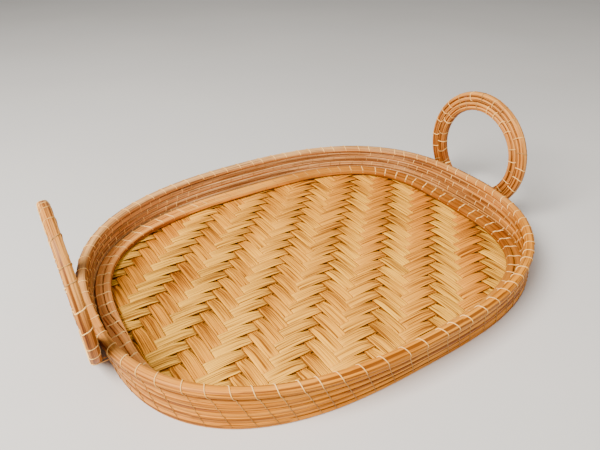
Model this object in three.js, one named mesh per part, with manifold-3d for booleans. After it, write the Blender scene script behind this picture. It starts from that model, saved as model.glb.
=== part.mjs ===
// Oval serving tray of coiled grass. The floor is a mat of flat grass strips, woven three over and three
// under. The wall is one grass bundle coiled up from the edge of the mat, with a thicker bundle as its rim
// and a flat border coil over the cut ends of the strips. Each handle is a bundle wound into a flat ring
// that stands outside the wall and is lashed to it.
// Millimetres, +Z up, +X towards the right handle. The origin lies on the table, under the middle of the mat.

import * as THREE from 'three';
import { mergeGeometries, mergeVertices } from 'three/addons/utils/BufferGeometryUtils.js';
import Module from 'manifold-3d';

// Plan of the rim along the middle of its bundle, and plan of the wall's foot along the middle of the
// lowest row. A squareness of 2 would be a plain ellipse. The foot is squarer, so the wall stands upright
// at the four corners and leans out at the ends and at the sides, at the left end less than at the right.
const RIM_HALF_LENGTH = 198;
const RIM_HALF_WIDTH = 158;
const RIM_SQUARENESS = 2.45;
const FOOT_LEFT_INSET = 4.5;
const FOOT_RIGHT_INSET = 9.5;
const FOOT_SIDE_INSET = 5.8;
const FOOT_LEFT_SQUARENESS = 2.76;
const FOOT_RIGHT_SQUARENESS = 3.05;

// Rim and wall bundles
const RIM_WIDTH = 8.4;
const RIM_THICKNESS = 6.2;
const WALL_THICKNESS = 5.45;
const WALL_TURNS = 5;

// Border coil on the mat
const BORDER_THICKNESS = 6.2;
const BORDER_TURNS = 2;

// Woven mat: strips of one width in both directions, each float passing over three strips
const STRIP_PITCH = 10.6;
const STRIP_SPACING = 0.6;
const STRIP_THICKNESS = 1.4;
const FLOAT_STRIPS = 3;
const FLOAT_DIVE = 2.4;
const FLOAT_CROWN = 0.4;
const MAT_LIFT = 1.5;

// Handle rings
const HANDLE_RADIUS = 61;
const HANDLE_TURNS = 4;
const HANDLE_BUNDLE_WIDTH = 4.1;
const HANDLE_THICKNESS = 7.7;
const HANDLE_LIFT = 1.4;

// Lashings of flat cord that hold the lower part of each ring to the wall. Their places are shares of the
// angle at which the ring's hole crosses the rim.
const LASHING_WIDTH = 1.6;
const LASHING_THICKNESS = 0.6;
const LASHING_SHARES = [ - 1.1, - 0.55, 0, 0.55, 1.1 ];

// Clearances: between separate pieces, and between neighbouring turns of one bundle
const SEAT_GAP = 0.3;
const TURN_GAP = 0.55;

// How a bundle is wound: the share of a turn in which it crosses to the next row, and its feathered tip
const RAMP_SHARE = 0.125;
const TIP_THICKNESS = 0.8;

// How far a piece reaches into the one that it is fused with
const OVERRUN = 0.2;

// Faceting
const PLAN_STEPS = 48;
const RING_STEPS = 24;
const BUNDLE_SIDES = 6;
const RIM_SIDES = 8;
const GAP_SAMPLES = 4;
const INSET_STEPS = 30;

// Heights and insets that follow from the sizes above
const wallPitch = WALL_THICKNESS + TURN_GAP;
const wallHeight = WALL_TURNS * wallPitch - TURN_GAP;
const rimHeight = wallHeight + SEAT_GAP + RIM_THICKNESS / 2;
const wallRows = Array.from( { length: WALL_TURNS }, ( _, row ) => {

	const up = WALL_THICKNESS / 2 + row * wallPitch;
	return { out: 0, up, lean: ( rimHeight - up ) / ( rimHeight - WALL_THICKNESS / 2 ) };

} );
const footMiddle = ( FOOT_LEFT_INSET - FOOT_RIGHT_INSET ) / 2;
const rimPlanSize = { halfLength: RIM_HALF_LENGTH, halfWidth: RIM_HALF_WIDTH, squareness: RIM_SQUARENESS };

const matInset = WALL_THICKNESS / 2 + SEAT_GAP;
const floatBase = MAT_LIFT + STRIP_THICKNESS;
const matTop = floatBase + STRIP_THICKNESS + FLOAT_CROWN;
const borderPitch = BORDER_THICKNESS + TURN_GAP;
const borderInset = matInset + BORDER_THICKNESS / 2;
const handlePitch = HANDLE_BUNDLE_WIDTH + TURN_GAP;
const handleHoleRadius = HANDLE_RADIUS - HANDLE_TURNS * handlePitch + TURN_GAP;
const handleHoleClear = handleHoleRadius * Math.cos( Math.PI / RING_STEPS );
const handleHeight = HANDLE_LIFT + HANDLE_RADIUS;

const grass = {
	floor: new THREE.MeshStandardMaterial( { color: 0xd9a55c, roughness: 0.7, metalness: 0 } ),
	wall: new THREE.MeshStandardMaterial( { color: 0xc48c54, roughness: 0.65, metalness: 0 } ),
	handle: new THREE.MeshStandardMaterial( { color: 0xb9743c, roughness: 0.65, metalness: 0 } ),
	cord: new THREE.MeshStandardMaterial( { color: 0xe8c9a0, roughness: 0.7, metalness: 0 } ),
};

const wasm = await Module();
wasm.setup();

// The plan of the rim as a curve. It starts at the left end, so every seam lies behind the left handle.
class RimPlan extends THREE.Curve {

	getPoint( share, target = new THREE.Vector3() ) {

		const angle = Math.PI + 2 * Math.PI * share;
		const alongLength = Math.cos( angle );
		const alongWidth = Math.sin( angle );
		const power = 2 / RIM_SQUARENESS;
		return target.set(
			RIM_HALF_LENGTH * Math.sign( alongLength ) * Math.abs( alongLength ) ** power,
			RIM_HALF_WIDTH * Math.sign( alongWidth ) * Math.abs( alongWidth ) ** power,
			0 );

	}

}

const rimPlan = new RimPlan();
rimPlan.arcLengthDivisions = 1200;

// Outward normal of the rim's plan at a point of it
function planNormal( { x, y } ) {

	const power = RIM_SQUARENESS - 1;
	return new THREE.Vector3(
		Math.sign( x ) * Math.abs( x / RIM_HALF_LENGTH ) ** power / RIM_HALF_LENGTH,
		Math.sign( y ) * Math.abs( y / RIM_HALF_WIDTH ) ** power / RIM_HALF_WIDTH,
		0 ).normalize();

}

// Plan of the foot on one side of its middle. The two ends have their own squareness.
function footPlanSize( side ) {

	return {
		halfLength: RIM_HALF_LENGTH - ( FOOT_LEFT_INSET + FOOT_RIGHT_INSET ) / 2,
		halfWidth: RIM_HALF_WIDTH - FOOT_SIDE_INSET,
		squareness: side < 0 ? FOOT_LEFT_SQUARENESS : FOOT_RIGHT_SQUARENESS,
	};

}

// How far the foot's plan lies inside the rim's, from a point of the rim's plan straight inwards.
// The place is closed in on by halving.
function footInsetAt( origin, out ) {

	let near = - FOOT_LEFT_INSET - FOOT_RIGHT_INSET - FOOT_SIDE_INSET;
	let far = - near;
	for ( let step = 0; step < INSET_STEPS; step ++ ) {

		const inset = ( near + far ) / 2;
		const along = origin.x - inset * out.x - footMiddle;
		const { halfLength, halfWidth, squareness } = footPlanSize( along );
		const x = Math.abs( along ) / halfLength;
		const y = Math.abs( origin.y - inset * out.y ) / halfWidth;
		if ( x ** squareness + y ** squareness > 1 ) near = inset;
		else far = inset;

	}
	return near;

}

// Guide of everything that runs round the tray. The middle of the ramps lies at the left end.
function planGuide( share ) {

	const shifted = share + RAMP_SHARE / 2;
	const origin = rimPlan.getPointAt( shifted - Math.floor( shifted ) );
	const out = planNormal( origin );
	return { origin, out, up: new THREE.Vector3( 0, 0, 1 ), footInset: footInsetAt( origin, out ) };

}

// Half of a plan's length at a given place across it, for the plan drawn in by an inset
function halfLengthAt( y, { halfLength, halfWidth, squareness }, inset ) {

	const across = Math.min( Math.abs( y ) / ( halfWidth - inset ), 1 );
	return ( halfLength - inset ) * ( 1 - across ** squareness ) ** ( 1 / squareness );

}

function halfWidthAt( x, { halfLength, halfWidth, squareness }, inset ) {

	const along = Math.min( Math.abs( x ) / ( halfLength - inset ), 1 );
	return ( halfWidth - inset ) * ( 1 - along ** squareness ) ** ( 1 / squareness );

}

// Section of a bundle as shares of its half sizes, with a flat at the top and at the bottom
function sectionShares( sides ) {

	const corners = Array.from( { length: sides }, ( _, corner ) => {

		const angle = Math.PI / 2 + ( corner - 0.5 ) * 2 * Math.PI / sides;
		return [ Math.cos( angle ), Math.sin( angle ) ];

	} );
	const widest = Math.max( ...corners.map( ( [ out ] ) => out ) );
	const tallest = Math.max( ...corners.map( ( [ , up ] ) => up ) );
	return corners.map( ( [ out, up ] ) => [ out / widest, up / tallest ] );

}

function smoothShare( share ) {

	const kept = Math.min( Math.max( share, 0 ), 1 );
	return kept * kept * ( 3 - 2 * kept );

}

// Stations of one unbroken bundle. Each turn keeps to its row and crosses to the next one inside the ramp.
// The first and the last turn are feathered there, so the outermost rows stay level. A row's lean is its
// share of the way from the rim's plan to the foot's.
function windStations( { guide, rows, size, stack, steps } ) {

	const rampSteps = Math.round( steps * RAMP_SHARE );
	const pitch = size[ stack ] + TURN_GAP;
	const lastRow = rows.length - 1;
	const inward = lastRow > 0 && rows[ 1 ][ stack ] < rows[ 0 ][ stack ];
	const direction = inward ? - 1 : 1;
	const stations = [];
	for ( let step = - rampSteps; step <= rows.length * steps; step ++ ) {

		const row = Math.min( Math.max( Math.floor( step / steps ), 0 ), lastRow );
		const crossed = smoothShare( ( step - ( row + 1 ) * steps ) / rampSteps + 1 );
		const next = rows[ Math.min( row + 1, lastRow ) ];
		const frame = guide( step / steps );
		const lean = THREE.MathUtils.lerp( rows[ row ].lean, next.lean, crossed );
		const centre = {
			out: THREE.MathUtils.lerp( rows[ row ].out, next.out, crossed ) - lean * frame.footInset,
			up: THREE.MathUtils.lerp( rows[ row ].up, next.up, crossed ),
		};
		let thickness = size[ stack ];
		let side = 0;
		if ( step < 0 ) {

			thickness = smoothShare( step / rampSteps + 1 ) * pitch - TURN_GAP;
			side = - direction;

		} else if ( row === lastRow && crossed > 0 ) {

			thickness = ( 1 - crossed ) * pitch - TURN_GAP;
			side = direction;

		}
		if ( thickness < TIP_THICKNESS ) continue;
		centre[ stack ] += side * ( size[ stack ] - thickness ) / 2;
		stations.push( { step, frame, centre, size: { ...size, [ stack ]: thickness } } );

	}
	return stations;

}

// Corners of a bundle's section at one station
function stationOutline( { frame, centre, size }, shares ) {

	return shares.map( ( [ outShare, upShare ] ) => frame.origin.clone()
		.addScaledVector( frame.out, centre.out + outShare * size.out / 2 )
		.addScaledVector( frame.up, centre.up + upShare * size.up / 2 ) );

}

// Closed surface through outlines that all have the same number of corners, with a flat cap at both ends
function loftGeometry( outlines ) {

	const sides = outlines[ 0 ].length;
	const last = ( outlines.length - 1 ) * sides;
	const indices = [];
	for ( let ring = 0; ring < outlines.length - 1; ring ++ ) {

		for ( let side = 0; side < sides; side ++ ) {

			const a = ring * sides + side;
			const b = ring * sides + ( side + 1 ) % sides;
			indices.push( a, b, b + sides, a, b + sides, a + sides );

		}

	}
	for ( let side = 1; side < sides - 1; side ++ ) {

		indices.push( 0, side + 1, side, last, last + side, last + side + 1 );

	}
	const geometry = new THREE.BufferGeometry().setFromPoints( outlines.flat() );
	geometry.setIndex( facesPointOut( outlines.flat(), indices ) ? indices : indices.reverse() );
	return geometry;

}

function facesPointOut( points, indices ) {

	let volume = 0;
	for ( let corner = 0; corner < indices.length; corner += 3 ) {

		const [ a, b, c ] = indices.slice( corner, corner + 3 ).map( ( index ) => points[ index ] );
		volume += a.dot( b.clone().cross( c ) );

	}
	return volume > 0;

}

// Least distance between a bundle's neighbouring turns, over points spread along the section's sides
function leastTurnGap( stations, outlines, steps ) {

	const spread = outlines.map( ( outline ) => outline.flatMap( ( corner, side ) => {

		const next = outline[ ( side + 1 ) % outline.length ];
		return Array.from( { length: GAP_SAMPLES }, ( _, sample ) => corner.clone().lerp( next, sample / GAP_SAMPLES ) );

	} ) );
	const placeOfStep = new Map( stations.map( ( { step }, place ) => [ step, place ] ) );
	let least = Infinity;
	stations.forEach( ( { step }, place ) => {

		for ( const after of [ steps - 1, steps, steps + 1 ] ) {

			const other = placeOfStep.get( step + after );
			if ( other === undefined ) continue;
			for ( const here of spread[ place ] ) {

				for ( const there of spread[ other ] ) least = Math.min( least, here.distanceTo( there ) );

			}

		}

	} );
	return least;

}

function windBundle( name, winding, sides, material ) {

	const shares = sectionShares( sides );
	const stations = windStations( winding );
	const outlines = stations.map( ( station ) => stationOutline( station, shares ) );
	console.log( `${ name }: least gap to itself ${ leastTurnGap( stations, outlines, winding.steps ).toFixed( 2 ) } mm` );
	return nameMesh( name, loftGeometry( outlines ), material );

}

function nameMesh( name, geometry, material ) {

	const mesh = new THREE.Mesh( geometry, material );
	mesh.name = name;
	return mesh;

}

function toManifold( geometry ) {

	const bare = geometry.clone();
	bare.deleteAttribute( 'normal' );
	bare.deleteAttribute( 'uv' );
	const welded = mergeVertices( bare );
	return new wasm.Manifold( new wasm.Mesh( {
		numProp: 3,
		vertProperties: new Float32Array( welded.attributes.position.array ),
		triVerts: new Uint32Array( welded.index.array ),
	} ) );

}

function fromManifold( solid ) {

	const { vertProperties, triVerts } = solid.getMesh();
	const geometry = new THREE.BufferGeometry();
	geometry.setAttribute( 'position', new THREE.BufferAttribute( vertProperties, 3 ) );
	geometry.setIndex( new THREE.BufferAttribute( triVerts, 1 ) );
	return geometry;

}

// One float: a strip that comes up from under its neighbour, arches over three strips and dives again.
// It runs from start to end along its strip, whose middle lies at the given place.
function floatGeometry( start, end, middle, lengthwise ) {

	const length = end - start;
	const profile = new THREE.Shape();
	profile.moveTo( 0, - OVERRUN );
	profile.lineTo( length, - OVERRUN );
	profile.lineTo( length - FLOAT_DIVE, STRIP_THICKNESS );
	profile.lineTo( length / 2, STRIP_THICKNESS + FLOAT_CROWN );
	profile.lineTo( FLOAT_DIVE, STRIP_THICKNESS );
	profile.closePath();
	const width = STRIP_PITCH - STRIP_SPACING;
	const geometry = new THREE.ExtrudeGeometry( profile, { depth: width, bevelEnabled: false } );
	const lengthAxis = new THREE.Vector3( 1, 0, 0 );
	const widthAxis = new THREE.Vector3( 0, 1, 0 );
	const up = new THREE.Vector3( 0, 0, 1 );
	const placed = new THREE.Matrix4();
	if ( lengthwise ) {

		placed.makeBasis( lengthAxis, up, widthAxis.negate() );
		placed.setPosition( start, middle + width / 2, floatBase );

	} else {

		placed.makeBasis( widthAxis, up, lengthAxis );
		placed.setPosition( middle - width / 2, start, floatBase );

	}
	return geometry.applyMatrix4( placed );

}

// Where the floats of a lengthwise strip end under the border coil, left and right
function lengthwiseLimits( middle ) {

	const outerEdge = Math.abs( middle ) + STRIP_PITCH / 2;
	return [ - 1, 1 ].map( ( side ) => footMiddle + side * halfLengthAt( outerEdge, footPlanSize( side ), borderInset ) );

}

// Where the floats of a crosswise strip end under the border coil, in front and behind
function crosswiseLimits( middle ) {

	const side = Math.sign( middle - footMiddle );
	const outerEdge = Math.abs( middle - footMiddle ) + STRIP_PITCH / 2;
	const limit = halfWidthAt( outerEdge, footPlanSize( side ), borderInset );
	return [ - limit, limit ];

}

// All floats of one direction. From each strip to the next the floats step on by one strip, which draws
// the twill's slanting ribs. Near the edge they are cut short under the border coil.
function floatGeometries( lengthwise ) {

	const repeat = 2 * FLOAT_STRIPS;
	const phase = lengthwise ? 0 : 1;
	const { halfLength, halfWidth } = footPlanSize( 0 );
	const strips = Math.ceil( ( lengthwise ? halfWidth : halfLength + Math.abs( footMiddle ) ) / STRIP_PITCH );
	const reach = Math.ceil( ( halfLength + Math.abs( footMiddle ) ) / STRIP_PITCH ) + repeat;
	const floats = [];
	for ( let strip = - strips; strip < strips; strip ++ ) {

		const middle = ( strip + 0.5 ) * STRIP_PITCH;
		const [ low, high ] = lengthwise ? lengthwiseLimits( middle ) : crosswiseLimits( middle );
		for ( let cell = - reach; cell < reach; cell ++ ) {

			if ( THREE.MathUtils.euclideanModulo( cell - strip - phase, repeat ) !== 0 ) continue;
			const start = Math.max( cell * STRIP_PITCH + STRIP_SPACING / 2, low );
			const end = Math.min( ( cell + FLOAT_STRIPS ) * STRIP_PITCH - STRIP_SPACING / 2, high );
			if ( end - start < STRIP_PITCH ) continue;
			floats.push( floatGeometry( start, end, middle, lengthwise ) );

		}

	}
	return floats;

}

// The mat: an under layer out to the wall, with the floats of both directions raised on it
function weaveMat() {

	const outline = Array.from( { length: PLAN_STEPS }, ( _, step ) => {

		const { origin, out, footInset } = planGuide( step / PLAN_STEPS );
		const point = origin.addScaledVector( out, - footInset - matInset );
		return new THREE.Vector2( point.x, point.y );

	} );
	const layer = new THREE.ExtrudeGeometry( new THREE.Shape( outline ), { depth: STRIP_THICKNESS, bevelEnabled: false } );
	layer.translate( 0, 0, MAT_LIFT );
	const floats = mergeGeometries( [ ...floatGeometries( true ), ...floatGeometries( false ) ] );
	const mat = toManifold( layer ).add( toManifold( floats ) );
	return nameMesh( 'woven_mat', fromManifold( mat ), grass.floor );

}

function windBorder() {

	const rows = Array.from( { length: BORDER_TURNS }, ( _, row ) => ( {
		out: - borderInset - row * borderPitch,
		up: matTop + SEAT_GAP + BORDER_THICKNESS / 2,
		lean: 1,
	} ) );
	const size = { out: BORDER_THICKNESS, up: BORDER_THICKNESS };
	const winding = { guide: planGuide, rows, size, stack: 'out', steps: PLAN_STEPS };
	return windBundle( 'border_coil', winding, BUNDLE_SIDES, grass.wall );

}

function windWall() {

	const size = { out: WALL_THICKNESS, up: WALL_THICKNESS };
	const winding = { guide: planGuide, rows: wallRows, size, stack: 'up', steps: PLAN_STEPS };
	return windBundle( 'wall_coil', winding, BUNDLE_SIDES, grass.wall );

}

function windRim() {

	const size = { out: RIM_WIDTH, up: RIM_THICKNESS };
	const rows = [ { out: 0, up: rimHeight, lean: 0 } ];
	const winding = { guide: planGuide, rows, size, stack: 'up', steps: PLAN_STEPS };
	return windBundle( 'rim_coil', winding, RIM_SIDES, grass.wall );

}

// Outermost place of the wall or rim on one side, at a given place across the tray and a given height
function wallOutside( side, y, z ) {

	const rows = wallRows.map( ( { up, lean } ) => ( { up, lean, width: WALL_THICKNESS, thickness: WALL_THICKNESS } ) );
	rows.push( { up: rimHeight, lean: 0, width: RIM_WIDTH, thickness: RIM_THICKNESS } );
	const clear = SEAT_GAP + LASHING_THICKNESS;
	const level = rows.filter( ( { up, thickness } ) => Math.abs( z - up ) <= thickness / 2 + clear );
	const rimAt = halfLengthAt( y, rimPlanSize, 0 );
	const footAt = halfLengthAt( y, footPlanSize( side ), 0 ) + side * footMiddle;
	return Math.max( ...level.map( ( { lean, width } ) => THREE.MathUtils.lerp( rimAt, footAt, lean ) + width / 2 ) );

}

// The ring stands where its hole crosses the rim, one seat gap off the rim bundle
const crossingDrop = handleHeight - rimHeight;
const crossingY = Math.sqrt( handleHoleRadius ** 2 - crossingDrop ** 2 );
const crossingAngle = Math.acos( crossingDrop / handleHoleRadius );
const handleInnerFace = halfLengthAt( crossingY, rimPlanSize, 0 ) + RIM_WIDTH / 2 + SEAT_GAP;

function windHandle( name, side ) {

	const centre = new THREE.Vector3( side * ( handleInnerFace + HANDLE_THICKNESS / 2 ), 0, handleHeight );
	const guide = ( share ) => {

		const angle = 2 * Math.PI * ( share - RAMP_SHARE / 2 ) - Math.PI / 2;
		const out = new THREE.Vector3( 0, Math.cos( angle ), Math.sin( angle ) );
		return { origin: centre.clone(), out, up: new THREE.Vector3( side, 0, 0 ), footInset: 0 };

	};
	const rows = Array.from( { length: HANDLE_TURNS }, ( _, row ) => ( {
		out: HANDLE_RADIUS - HANDLE_BUNDLE_WIDTH / 2 - row * handlePitch,
		up: 0,
		lean: 0,
	} ) );
	const size = { out: HANDLE_BUNDLE_WIDTH, up: HANDLE_THICKNESS };
	const winding = { guide, rows, size, stack: 'out', steps: RING_STEPS };
	return windBundle( name, winding, BUNDLE_SIDES, grass.handle );

}

// One lashing: a staple of flat cord over the ring's outer face, with a leg on each side of the ring
function lashHandle( name, side, angle ) {

	const across = new THREE.Vector3( 0, Math.sin( angle ), - Math.cos( angle ) );
	const holeLeg = handleHoleClear - SEAT_GAP - LASHING_THICKNESS;
	const rimLeg = HANDLE_RADIUS + SEAT_GAP + LASHING_THICKNESS;
	const legEnd = ( radius ) => {

		const y = radius * across.y;
		const z = handleHeight + radius * across.z;
		return Math.min( wallOutside( side, y, z ) + SEAT_GAP, handleInnerFace );

	};
	const face = handleInnerFace + HANDLE_THICKNESS + SEAT_GAP;
	const staple = new THREE.Shape();
	staple.moveTo( holeLeg, legEnd( holeLeg ) );
	staple.lineTo( holeLeg + LASHING_THICKNESS, legEnd( holeLeg ) );
	staple.lineTo( holeLeg + LASHING_THICKNESS, face );
	staple.lineTo( rimLeg - LASHING_THICKNESS, face );
	staple.lineTo( rimLeg - LASHING_THICKNESS, legEnd( rimLeg ) );
	staple.lineTo( rimLeg, legEnd( rimLeg ) );
	staple.lineTo( rimLeg, face + LASHING_THICKNESS );
	staple.lineTo( holeLeg, face + LASHING_THICKNESS );
	staple.closePath();
	const geometry = new THREE.ExtrudeGeometry( staple, { depth: LASHING_WIDTH, bevelEnabled: false } );
	geometry.translate( 0, 0, - LASHING_WIDTH / 2 );
	const outward = new THREE.Vector3( side, 0, 0 );
	const placed = new THREE.Matrix4().makeBasis( across, outward, across.clone().cross( outward ) );
	placed.setPosition( 0, 0, handleHeight );
	return nameMesh( name, geometry.applyMatrix4( placed ), grass.cord );

}

const tray = new THREE.Group();
tray.add( weaveMat(), windBorder(), windWall(), windRim() );
for ( const [ end, side ] of [ [ 'left', - 1 ], [ 'right', 1 ] ] ) {

	tray.add( windHandle( `${ end }_handle_ring`, side ) );
	LASHING_SHARES.forEach( ( share, place ) => {

		tray.add( lashHandle( `${ end }_handle_lashing_${ place + 1 }`, side, share * crossingAngle ) );

	} );

}

export default tray;
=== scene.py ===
"""Woven grass tray with ring handles: the strips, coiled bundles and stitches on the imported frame."""

import math
import random
from bisect import bisect_right
from typing import NamedTuple

import bmesh
import bpy
from bpy.props import FloatProperty, FloatVectorProperty, IntProperty, PointerProperty
from mathutils import Matrix, Vector


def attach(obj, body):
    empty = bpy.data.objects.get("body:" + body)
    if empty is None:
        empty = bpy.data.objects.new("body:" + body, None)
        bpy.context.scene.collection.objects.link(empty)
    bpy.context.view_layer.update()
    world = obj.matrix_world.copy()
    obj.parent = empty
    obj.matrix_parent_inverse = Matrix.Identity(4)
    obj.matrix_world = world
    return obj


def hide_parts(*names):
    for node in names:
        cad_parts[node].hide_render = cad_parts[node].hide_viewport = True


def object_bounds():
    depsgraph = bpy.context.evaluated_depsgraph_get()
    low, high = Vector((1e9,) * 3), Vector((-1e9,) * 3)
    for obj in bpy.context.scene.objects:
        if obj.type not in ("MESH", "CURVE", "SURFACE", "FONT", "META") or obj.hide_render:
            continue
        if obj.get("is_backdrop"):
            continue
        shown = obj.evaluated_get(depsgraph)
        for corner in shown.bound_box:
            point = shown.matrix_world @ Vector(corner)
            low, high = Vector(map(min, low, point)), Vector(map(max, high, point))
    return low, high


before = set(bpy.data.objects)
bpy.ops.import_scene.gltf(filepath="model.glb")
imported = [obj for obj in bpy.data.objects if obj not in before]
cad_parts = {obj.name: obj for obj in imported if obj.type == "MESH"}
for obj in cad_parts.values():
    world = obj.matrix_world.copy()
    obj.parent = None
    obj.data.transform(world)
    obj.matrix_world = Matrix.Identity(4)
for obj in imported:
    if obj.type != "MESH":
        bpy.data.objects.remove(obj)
CAD_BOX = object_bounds()

bl_info = {
    "name": "Grass Tray",
    "version": (1, 0, 0),
    "blender": (4, 5, 0),
    "location": "3D View > Sidebar > Grass Tray",
    "description": "Weaves, coils and sews an oval grass tray with ring handles",
    "category": "Add Mesh",
}

UPRIGHT = Vector((0, 0, 1))
ENDS = (("left", -1), ("right", 1))
SEEDS = {
    "floor_strips_lengthwise": 11, "floor_strips_crosswise": 12,
    "border_bundle": 21, "wall_bundle": 22, "rim_bundle": 23,
    "left_ring_bundle": 31, "right_ring_bundle": 32,
    "rim_stitches": 41, "wall_stitches": 43, "border_stitches": 47,
    "left_ring_stitches": 51, "right_ring_stitches": 52}

# Mesh data that the materials read
FIBRE_MAP = "fibre"
# The tone holds each piece's own tones; on the strips it also holds painted shade and painted light
TONE = "tone"

# Fineness of the plan and of the grids
PLAN_SAMPLES = 1600
STEPS_PER_SAMPLE = 4
FOOT_HALVINGS = 30
STRIP_HALVINGS = 24
ROWS_PER_STEM = 4
ROWS_PER_RIB = 3
CORD_SIDES = 6
RING_CORD_SIDES = 5
OVER_RIM_STEPS = 12
STEPS_PER_ROW = 4
WALL_STITCH_STEPS = 8
BORDER_STITCH_STEPS = 14
RING_STITCH_STEPS = 20
BEND_STEPS = 4

# Distances within which corners are welded
TUBE_WELD = 1e-7
STRIP_WELD = 1e-6

# Powers of the sections: 1 is round, and a smaller one is squarer
WALL_POWER = 0.65
RIM_POWER = 0.85
BORDER_POWER = 0.55
RING_POWER = 0.75
RING_EDGE_POWER = 1.0
STITCH_POWER = 0.4
STITCH_EDGE_POWER = 0.66

# Bundles: stems that show round them, depth between two stems as a share of the bundle, roundness
# of a stem, and distances of the grid's lines along them
STEMS = 9
RIM_STEMS = 10
STEM_DEPTH = 0.13
STEM_ROUNDNESS = 0.7
BUNDLE_STEP = 0.004
WALL_STEP = 0.0045

# Twill, counted in strips: the length of a float, the grid's lines along it, how far a strip
# wanders sideways, and a length that reaches past the mat
FLOAT_STRIPS = 3
FLOAT_LINES = (0.0, 0.10, 0.22, 0.42, 0.9, 1.5, 2.0, 2.35, 2.6, 2.78, 2.92)
SWAY = 0.012
PAST_THE_MAT = 40.0

# Powers of a strip's shape: arch of a float, furrows, their end at the long edges, and the edges
ARCH_POWER = 0.8
FURROW_POWER = 0.6
FURROW_EDGE_POWER = 8
EDGE_POWER = 6

# Tones of a strip: how dark its furrows are, and the share of a float where its painted light turns to
# painted shade
FURROW_TONE = 0.3
PAINTED_SHADE_ZERO_SHARE = 0.35

# Stitches: places along the tray where they are faintest, and the length in which the rim's, which
# are faint on the wall left of their place, get clear
WALL_FAINT = 0.05
BORDER_FAINT = 0.03
RIM_FAINT = -0.17
RIM_CLEARING = 0.04

# Stitches: angles round their bundle in degrees, from where one comes out to where it goes in. On
# the wall that is sooner where it is faint.
RIM_ANGLES = (200, -20)
WALL_OUT_ANGLE = 125
WALL_IN_ANGLES = (185, 235)

# Wall stitches: how far those of one row stand back from the row below, as a share of their distance
ROW_SHIFT = 0.4

# Stitches: breadths, as shares of their width, and tones from their start to their end
OVER_RIM_BREADTHS = (0.95, 0.55)
OVER_RIM_TONES = (0.9, 0.4)
DOWN_WALL_BREADTHS = (0.6, 0.45)
DOWN_WALL_TONES = (0.35, 0.15)

# Stitches: breadths from where they are faint to where they are clear, and the rings' one breadth
RIM_CLEARNESS = (0.45, 1.0)
WALL_BREADTHS = (0.5, 0.85)
BORDER_BREADTHS = (0.6, 1.4)
RING_BREADTH = 0.85

# Stitches: how far their middle stands off their bundle, as a share of their thickness
PROUD = 0.3
LITTLE_PROUD = 0.2

# Rim stitches: shares of their advance over the rim and from the top of the wall to its foot, and
# how far beyond the middles of the wall's top and lowest rows they reach, as shares of its thickness
OVER_RIM_ADVANCE = 0.3
DOWN_WALL_ADVANCE = (0.37, 1.0)
ABOVE_TOP_ROW = 0.35
BELOW_LOWEST_ROW = 0.1

# Border stitches: how far they go down at the outer and the inner end, as shares of the bundle's
# thickness, and how close to the ends they do
OUTER_FALL = 0.25
INNER_FALL = 0.5
FALL_POWER = 12

# Lashings: width beside a stitch's, depth of the bends, how far the straight legs reach to both
# sides of the ring's inner face, how far the last leg goes on towards the wall, and the tone
LASHING_BREADTH = 1.3
LASHING_CORNER = 0.0022
LASHING_LEG = 0.002
LASHING_TAIL = 0.004
LASHING_TONE = 0.8

# Studio
KEY_PLACE = (-0.95, -0.20, 1.15)
KEY_SIZE = 0.8
KEY_TINT = (1.0, 0.97, 0.93)
FILL_PLACE = (0.7, -0.9, 0.9)
FILL_SIZE = 1.2
FILL_TINT = (1.0, 0.96, 0.92)
SKY_TINT = (1.0, 0.98, 0.95)
FLOOR_REACH = 15.0
SENSOR_MILLIMETRES = 36.0
NEAR_CLIP = 0.01

# Places of the rim stitches along the front, as shares of the rim's length from its left end
FRONT_STITCH_SHARES = (
    0.0536, 0.0660, 0.0794, 0.0955, 0.1082, 0.1220, 0.1345, 0.1473, 0.1599, 0.1705,
    0.1820, 0.1959, 0.2100, 0.2252, 0.2385, 0.2542, 0.2640, 0.2756, 0.2900, 0.3028, 0.3161)


def metres(name, description, default):
    return FloatProperty(name=name, description=description, default=default, unit="LENGTH")


def radians(name, description, default):
    return FloatProperty(name=name, description=description, default=default, unit="ROTATION")


def factor(name, description, default):
    return FloatProperty(name=name, description=description, default=default, subtype="FACTOR")


def number(name, description, default):
    return FloatProperty(name=name, description=description, default=default)


def count(name, description, default):
    return IntProperty(name=name, description=description, default=default, min=1)


def place(name, description, default):
    return FloatVectorProperty(
        name=name, description=description, default=default, size=len(default), unit="LENGTH")


def colour(name, description, default):
    return FloatVectorProperty(
        name=name, description=description, default=default, size=3, subtype="COLOR", min=0, max=1)


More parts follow.
